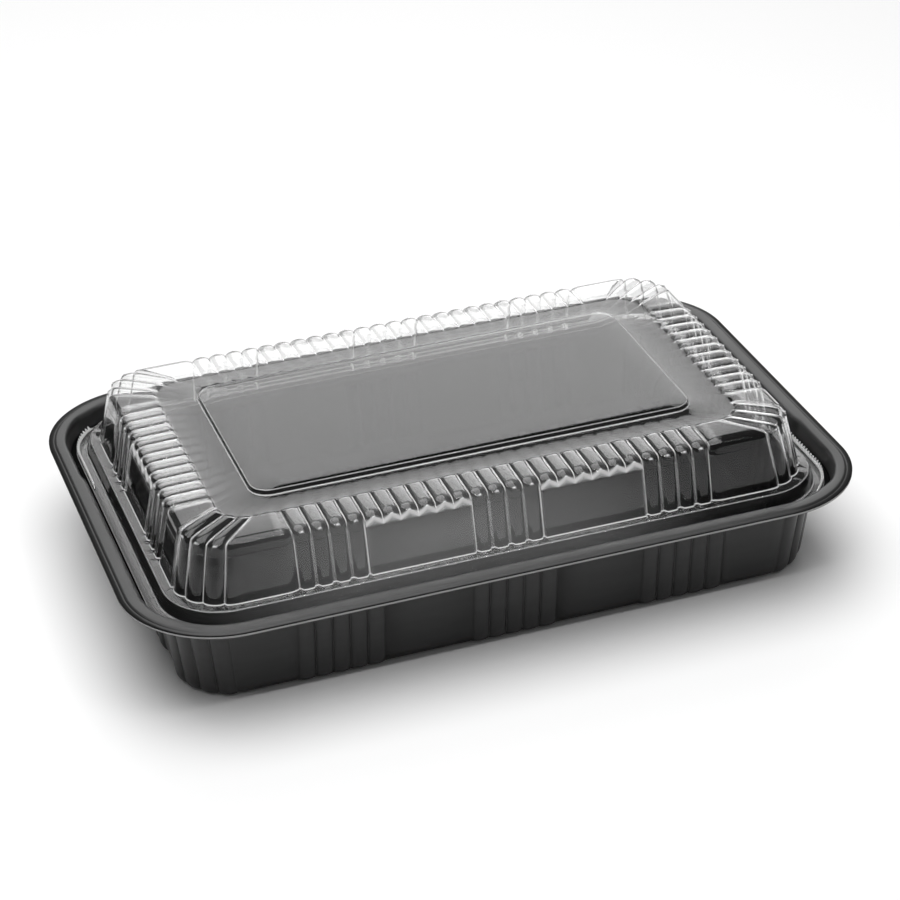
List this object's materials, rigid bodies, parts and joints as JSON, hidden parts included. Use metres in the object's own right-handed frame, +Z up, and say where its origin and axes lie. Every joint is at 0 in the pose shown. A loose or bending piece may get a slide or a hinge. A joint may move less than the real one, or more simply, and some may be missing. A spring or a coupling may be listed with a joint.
{
  "type": "takeaway meal container",
  "caption": "Shallow rectangular meal tray with a wide rim and fluted walls, shut with a clear ribbed dome lid that seats inside the rim.",
  "frame": {"origin": "middle of the flat base of the tray, on the surface it stands on", "axes": "+X along the long side, +Y across to the far long side, +Z up from the base to the lid"},
  "size_m": [0.22, 0.1474, 0.0481],
  "materials": {
    "tray_plastic": "black formed sheet, soft gloss",
    "lid_plastic": "clear formed sheet, high gloss"
  },
  "bodies": {
    "root": {"tray": "tray_plastic", "lid": "lid_plastic"}
  },
  "joints": []
}
